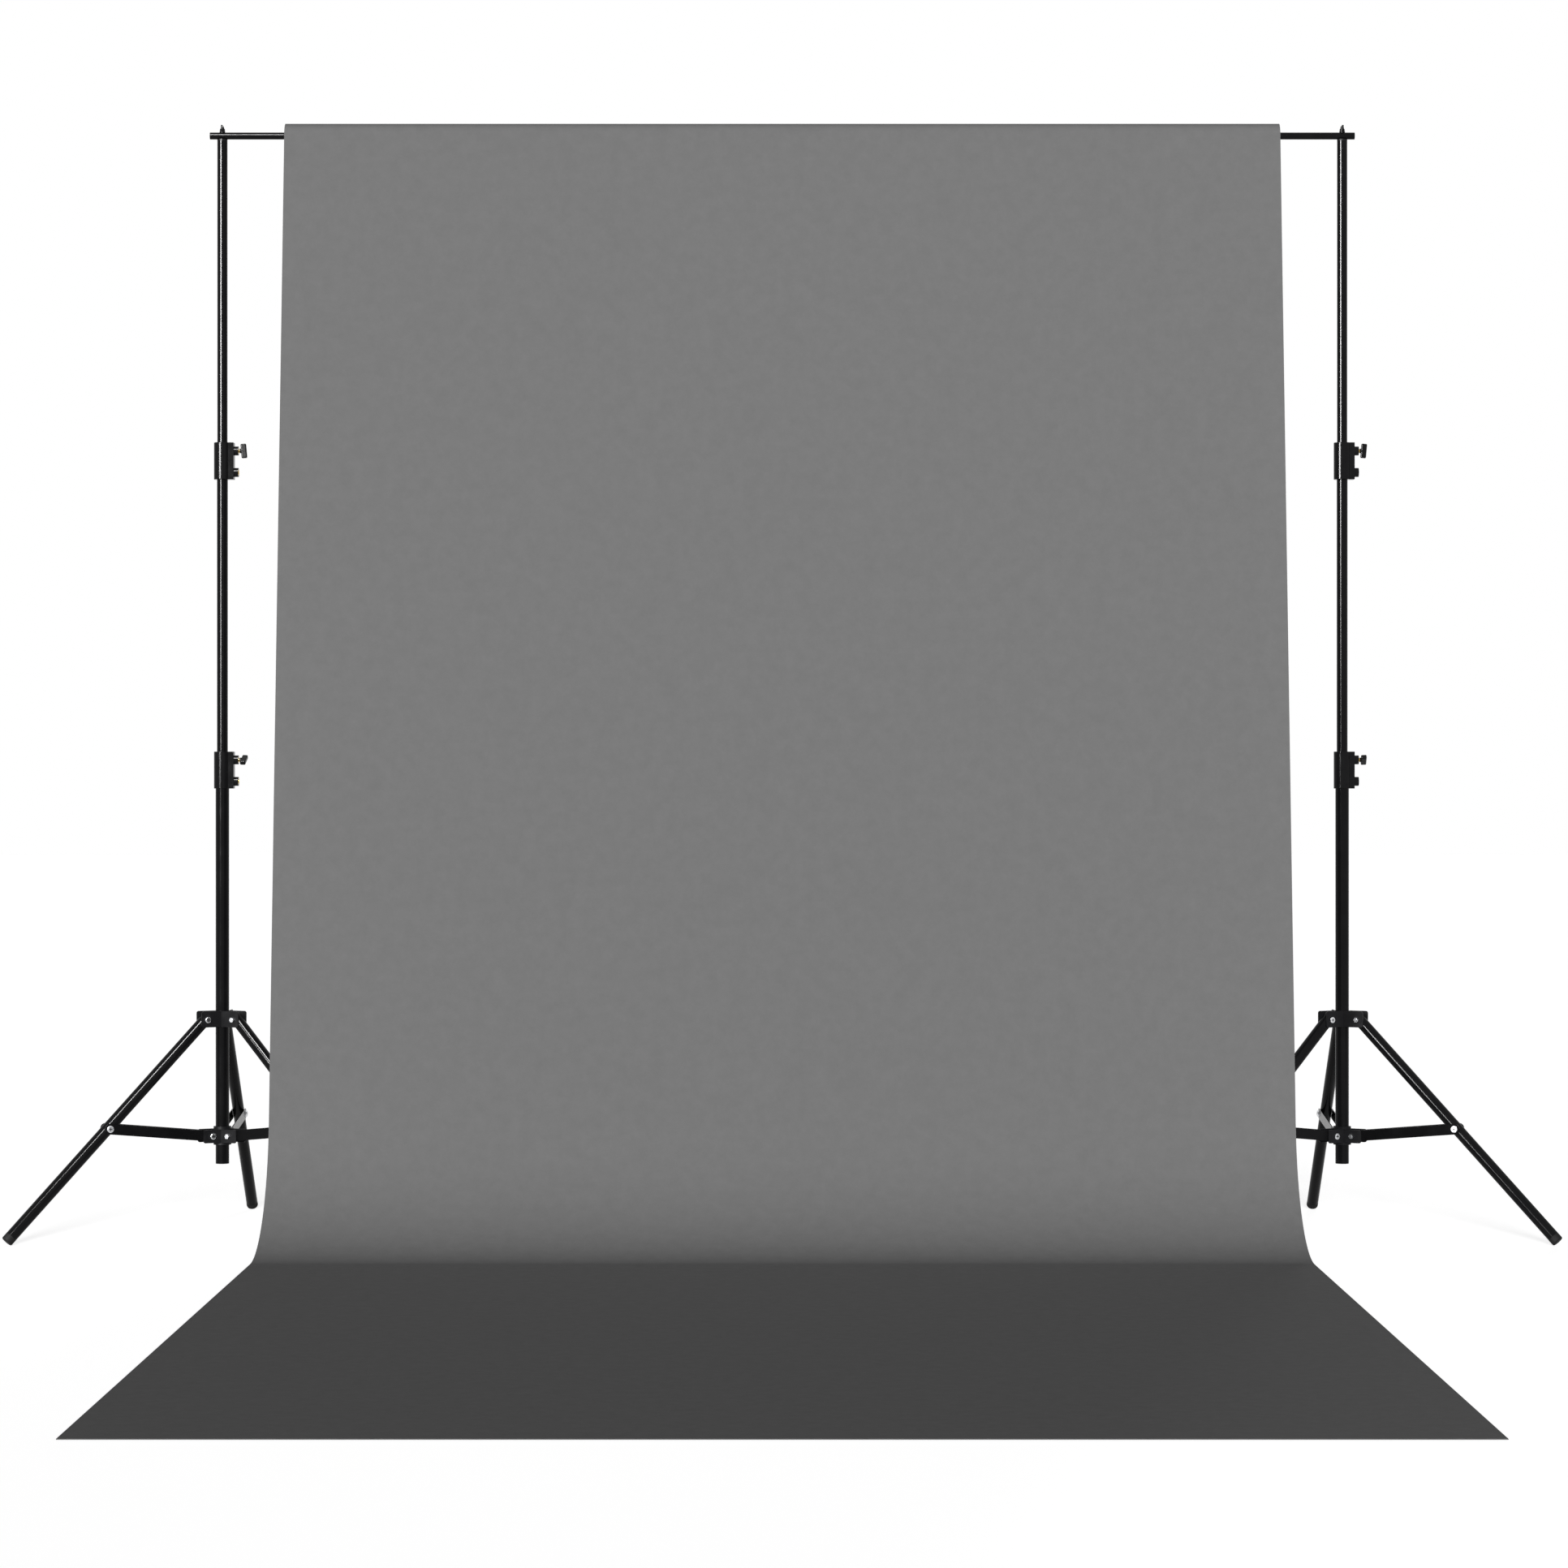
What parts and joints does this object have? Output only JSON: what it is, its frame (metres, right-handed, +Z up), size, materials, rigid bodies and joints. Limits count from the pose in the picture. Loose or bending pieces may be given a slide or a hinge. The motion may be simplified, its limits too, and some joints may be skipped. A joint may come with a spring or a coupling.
{
  "type": "background support system",
  "caption": "Telescoping light stands with folding tripods carry a crossbar, from which a grey backdrop comes off a roll, leans forward and sweeps onto the floor.",
  "frame": {"origin": "on the floor, under the middle of the whole kit", "axes": "+Z up, X along the crossbar, -Y towards the subject and the camera"},
  "size_m": [2.7486, 2.6828, 2.0094],
  "materials": {
    "tube_black": "glossy black paint",
    "hub_black": "satin black paint",
    "collar_black": "glossy black moulding",
    "knob_black": "satin black moulding",
    "guide_plastic": "natural moulding",
    "foot_rubber": "black rubber",
    "zinc": "bright zinc plate",
    "brass": "plain brass",
    "core_card": "spiral-wound card",
    "backdrop_grey": "matte grey felted cloth"
  },
  "bodies": {
    "left_base": {"left_base_tube": "tube_black", "left_lower_hub": "hub_black", "left_brace_bolts": "zinc", "left_lower_collar": "collar_black", "left_lower_collar_screw": "brass", "backdrop_sheet": "backdrop_grey"},
    "left_mid": {"left_mid_tube": "tube_black", "left_mid_guide": "guide_plastic", "left_upper_collar": "collar_black", "left_upper_collar_screw": "brass"},
    "left_hub": {"left_upper_hub": "hub_black", "left_leg_bolts": "zinc"},
    "left_leg_outer_body": {"left_leg_outer": "tube_black", "left_foot_outer": "foot_rubber"},
    "left_brace_outer_body": {"left_brace_outer": "tube_black", "left_brace_screw_outer": "zinc"},
    "left_leg_inner_body": {"left_leg_inner": "tube_black", "left_foot_inner": "foot_rubber"},
    "left_brace_inner_body": {"left_brace_inner": "tube_black", "left_brace_screw_inner": "zinc"},
    "left_leg_rear_body": {"left_leg_rear": "tube_black", "left_foot_rear": "foot_rubber"},
    "left_brace_rear_body": {"left_brace_rear": "tube_black", "left_brace_screw_rear": "zinc"},
    "left_lower_knob_body": {"left_lower_knob": "knob_black"},
    "left_upper_knob_body": {"left_upper_knob": "knob_black"},
    "left_wing_nut_body": {"left_wing_nut": "hub_black"},
    "right_base": {"right_base_tube": "tube_black", "right_lower_hub": "hub_black", "right_brace_bolts": "zinc", "right_lower_collar": "collar_black", "right_lower_collar_screw": "brass"},
    "right_mid": {"right_mid_tube": "tube_black", "right_mid_guide": "guide_plastic", "right_upper_collar": "collar_black", "right_upper_collar_screw": "brass"},
    "right_hub": {"right_upper_hub": "hub_black", "right_leg_bolts": "zinc"},
    "right_leg_outer_body": {"right_leg_outer": "tube_black", "right_foot_outer": "foot_rubber"},
    "right_brace_outer_body": {"right_brace_outer": "tube_black", "right_brace_screw_outer": "zinc"},
    "right_leg_inner_body": {"right_leg_inner": "tube_black", "right_foot_inner": "foot_rubber"},
    "right_brace_inner_body": {"right_brace_inner": "tube_black", "right_brace_screw_inner": "zinc"},
    "right_leg_rear_body": {"right_leg_rear": "tube_black", "right_foot_rear": "foot_rubber"},
    "right_brace_rear_body": {"right_brace_rear": "tube_black", "right_brace_screw_rear": "zinc"},
    "right_lower_knob_body": {"right_lower_knob": "knob_black"},
    "right_upper_knob_body": {"right_upper_knob": "knob_black"},
    "right_wing_nut_body": {"right_wing_nut": "hub_black"},
    "top_frame": {"left_top_tube": "tube_black", "left_stud": "hub_black", "crossbar": "tube_black", "right_top_tube": "tube_black", "right_stud": "hub_black"},
    "roll": {"roll_core": "core_card", "roll_layers": "backdrop_grey"}
  },
  "joints": [
    {"name": "left_mid_slide", "type": "slide", "parent": "left_base", "child": "left_mid", "axis": [0, 0, 1], "range_m": [-0.491, 0], "deforming": ["backdrop_sheet"]},
    {"name": "top_slide", "type": "slide", "parent": "left_mid", "child": "top_frame", "axis": [0, 0, 1], "range_m": [-0.53, 0], "deforming": ["backdrop_sheet"]},
    {"name": "right_top_slide", "type": "slide", "parent": "top_frame", "child": "right_mid", "axis": [0, 0, -1], "range_m": [-0.53, 0]},
    {"name": "right_mid_slide", "type": "slide", "parent": "right_mid", "child": "right_base", "axis": [0, 0, -1], "range_m": [-0.491, 0]},
    {"name": "left_fold", "type": "slide", "parent": "left_base", "child": "left_hub", "axis": [0, 0, 1], "range_m": [0, 0.24947]},
    {"name": "left_leg_outer_hinge", "type": "hinge", "parent": "left_hub", "child": "left_leg_outer_body", "pos_m": [-1.04358, 0.91209, 0.387], "axis": [0.5, -0.866, 0], "range_deg": [0, 42.95]},
    {"name": "left_brace_outer_hinge", "type": "hinge", "parent": "left_base", "child": "left_brace_outer_body", "pos_m": [-1.03578, 0.91659, 0.1765], "axis": [-0.5, 0.866, 0], "range_deg": [0, 79.09]},
    {"name": "left_leg_inner_hinge", "type": "hinge", "parent": "left_hub", "child": "left_leg_inner_body", "pos_m": [-0.98642, 0.91209, 0.387], "axis": [0.5, 0.866, 0], "range_deg": [0, 42.95]},
    {"name": "left_brace_inner_hinge", "type": "hinge", "parent": "left_base", "child": "left_brace_inner_body", "pos_m": [-0.99421, 0.91659, 0.1765], "axis": [-0.5, -0.866, 0], "range_deg": [0, 79.09]},
    {"name": "left_leg_rear_hinge", "type": "hinge", "parent": "left_hub", "child": "left_leg_rear_body", "pos_m": [-1.015, 0.96159, 0.387], "axis": [-1, 0, 0], "range_deg": [0, 42.95]},
    {"name": "left_brace_rear_hinge", "type": "hinge", "parent": "left_base", "child": "left_brace_rear_body", "pos_m": [-1.015, 0.95259, 0.1765], "axis": [1, 0, 0], "range_deg": [0, 79.09]},
    {"name": "left_lower_knob_turn", "type": "hinge", "parent": "left_base", "child": "left_lower_knob_body", "pos_m": [-0.976, 0.92859, 0.857], "axis": [1, 0, 0], "range_deg": [0, 540]},
    {"name": "left_upper_knob_turn", "type": "hinge", "parent": "left_mid", "child": "left_upper_knob_body", "pos_m": [-0.976, 0.92859, 1.417], "axis": [1, 0, 0], "range_deg": [0, 540]},
    {"name": "left_wing_nut_turn", "type": "hinge", "parent": "top_frame", "child": "left_wing_nut_body", "pos_m": [-1.015, 0.92859, 2.00035], "axis": [0, 0, 1], "range_deg": [0, 900]},
    {"name": "right_fold", "type": "slide", "parent": "right_base", "child": "right_hub", "axis": [0, 0, 1], "range_m": [0, 0.24947]},
    {"name": "right_leg_outer_hinge", "type": "hinge", "parent": "right_hub", "child": "right_leg_outer_body", "pos_m": [1.04358, 0.91209, 0.387], "axis": [0.5, 0.866, 0], "range_deg": [0, 42.95]},
    {"name": "right_brace_outer_hinge", "type": "hinge", "parent": "right_base", "child": "right_brace_outer_body", "pos_m": [1.03578, 0.91659, 0.1765], "axis": [-0.5, -0.866, 0], "range_deg": [0, 79.09]},
    {"name": "right_leg_inner_hinge", "type": "hinge", "parent": "right_hub", "child": "right_leg_inner_body", "pos_m": [0.98642, 0.91209, 0.387], "axis": [0.5, -0.866, 0], "range_deg": [0, 42.95]},
    {"name": "right_brace_inner_hinge", "type": "hinge", "parent": "right_base", "child": "right_brace_inner_body", "pos_m": [0.99421, 0.91659, 0.1765], "axis": [-0.5, 0.866, 0], "range_deg": [0, 79.09]},
    {"name": "right_leg_rear_hinge", "type": "hinge", "parent": "right_hub", "child": "right_leg_rear_body", "pos_m": [1.015, 0.96159, 0.387], "axis": [-1, 0, 0], "range_deg": [0, 42.95]},
    {"name": "right_brace_rear_hinge", "type": "hinge", "parent": "right_base", "child": "right_brace_rear_body", "pos_m": [1.015, 0.95259, 0.1765], "axis": [1, 0, 0], "range_deg": [0, 79.09]},
    {"name": "right_lower_knob_turn", "type": "hinge", "parent": "right_base", "child": "right_lower_knob_body", "pos_m": [1.054, 0.92859, 0.857], "axis": [1, 0, 0], "range_deg": [0, 540]},
    {"name": "right_upper_knob_turn", "type": "hinge", "parent": "right_mid", "child": "right_upper_knob_body", "pos_m": [1.054, 0.92859, 1.417], "axis": [1, 0, 0], "range_deg": [0, 540]},
    {"name": "right_wing_nut_turn", "type": "hinge", "parent": "top_frame", "child": "right_wing_nut_body", "pos_m": [1.015, 0.92859, 2.00035], "axis": [0, 0, 1], "range_deg": [0, 900]},
    {"name": "roll_turn", "type": "hinge", "parent": "top_frame", "child": "roll", "pos_m": [0, 0.92859, 1.9869], "axis": [1, 0, 0], "continuous": true}
  ],
  "couplings": [
    {"joint": "right_top_slide", "follows": "top_slide", "ratio": 1},
    {"joint": "right_mid_slide", "follows": "left_mid_slide", "ratio": 1},
    {"joint": "left_leg_outer_hinge", "follows": "left_fold", "rad_per_m": 3.0043},
    {"joint": "left_brace_outer_hinge", "follows": "left_fold", "rad_per_m": 5.5325},
    {"joint": "left_leg_inner_hinge", "follows": "left_fold", "rad_per_m": 3.0043},
    {"joint": "left_brace_inner_hinge", "follows": "left_fold", "rad_per_m": 5.5325},
    {"joint": "left_leg_rear_hinge", "follows": "left_fold", "rad_per_m": 3.0043},
    {"joint": "left_brace_rear_hinge", "follows": "left_fold", "rad_per_m": 5.5325},
    {"joint": "right_leg_outer_hinge", "follows": "right_fold", "rad_per_m": 3.0043},
    {"joint": "right_brace_outer_hinge", "follows": "right_fold", "rad_per_m": 5.5325},
    {"joint": "right_leg_inner_hinge", "follows": "right_fold", "rad_per_m": 3.0043},
    {"joint": "right_brace_inner_hinge", "follows": "right_fold", "rad_per_m": 5.5325},
    {"joint": "right_leg_rear_hinge", "follows": "right_fold", "rad_per_m": 3.0043},
    {"joint": "right_brace_rear_hinge", "follows": "right_fold", "rad_per_m": 5.5325}
  ]
}
